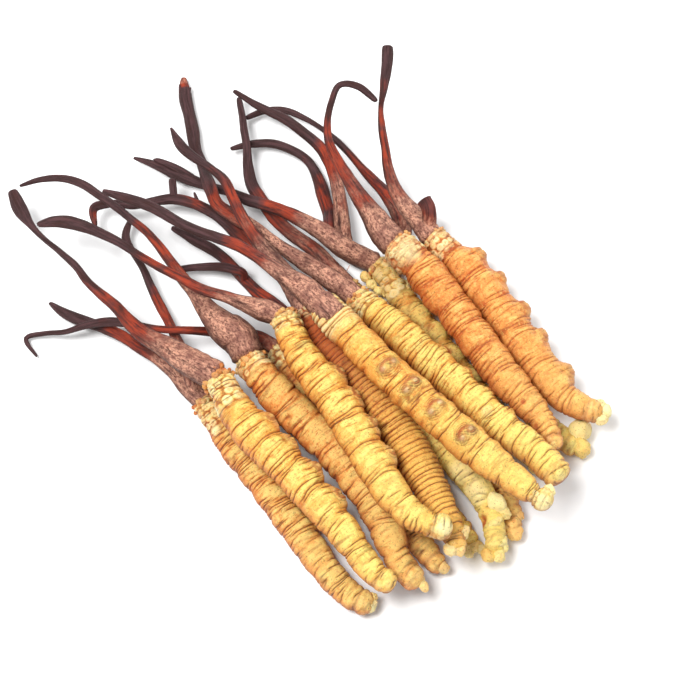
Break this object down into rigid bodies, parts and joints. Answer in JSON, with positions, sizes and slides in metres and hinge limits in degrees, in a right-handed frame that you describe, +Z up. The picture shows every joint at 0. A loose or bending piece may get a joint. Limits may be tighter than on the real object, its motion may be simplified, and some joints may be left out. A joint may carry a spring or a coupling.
{
  "type": "cordyceps bundle",
  "caption": "Loose fanned bundle of dried cordyceps: ringed larvae side by side and in layers, a dark forked stroma growing from each head, lying flat.",
  "frame": {"origin": "middle of the bundle's box, on the surface that the bundle lies on", "axes": "+Y from the tails of the larvae to the tips of the stromata, +Z up from the surface, +X across the fan"},
  "size_m": [0.0806, 0.103, 0.018],
  "materials": {
    "skin_golden": "dry wrinkled skin",
    "skin_yellow": "dry wrinkled skin",
    "skin_orange": "dry wrinkled skin",
    "skin_brown": "dry wrinkled skin",
    "stroma": "dry fibrous grain"
  },
  "bodies": {
    "root": {"larva_01": "skin_golden", "larva_02": "skin_yellow", "larva_03": "skin_orange", "larva_04": "skin_yellow", "larva_05": "skin_brown", "larva_06": "skin_yellow", "larva_07": "skin_yellow", "larva_08": "skin_yellow", "larva_09": "skin_orange", "larva_10": "skin_orange", "larva_11": "skin_yellow", "larva_12": "skin_orange", "larva_13": "skin_orange", "larva_14": "skin_yellow", "larva_15": "skin_yellow", "stroma_01": "stroma", "stroma_01_second": "stroma", "stroma_02": "stroma", "stroma_03": "stroma", "stroma_04": "stroma", "stroma_05": "stroma", "stroma_06": "stroma", "stroma_07": "stroma", "stroma_08": "stroma", "stroma_08_fork": "stroma", "stroma_08_second": "stroma", "stroma_09": "stroma", "stroma_10": "stroma", "stroma_10_second": "stroma", "stroma_11": "stroma", "stroma_12": "stroma", "stroma_13": "stroma", "stroma_14": "stroma", "stroma_14_fork": "stroma", "stroma_15": "stroma"}
  },
  "joints": []
}
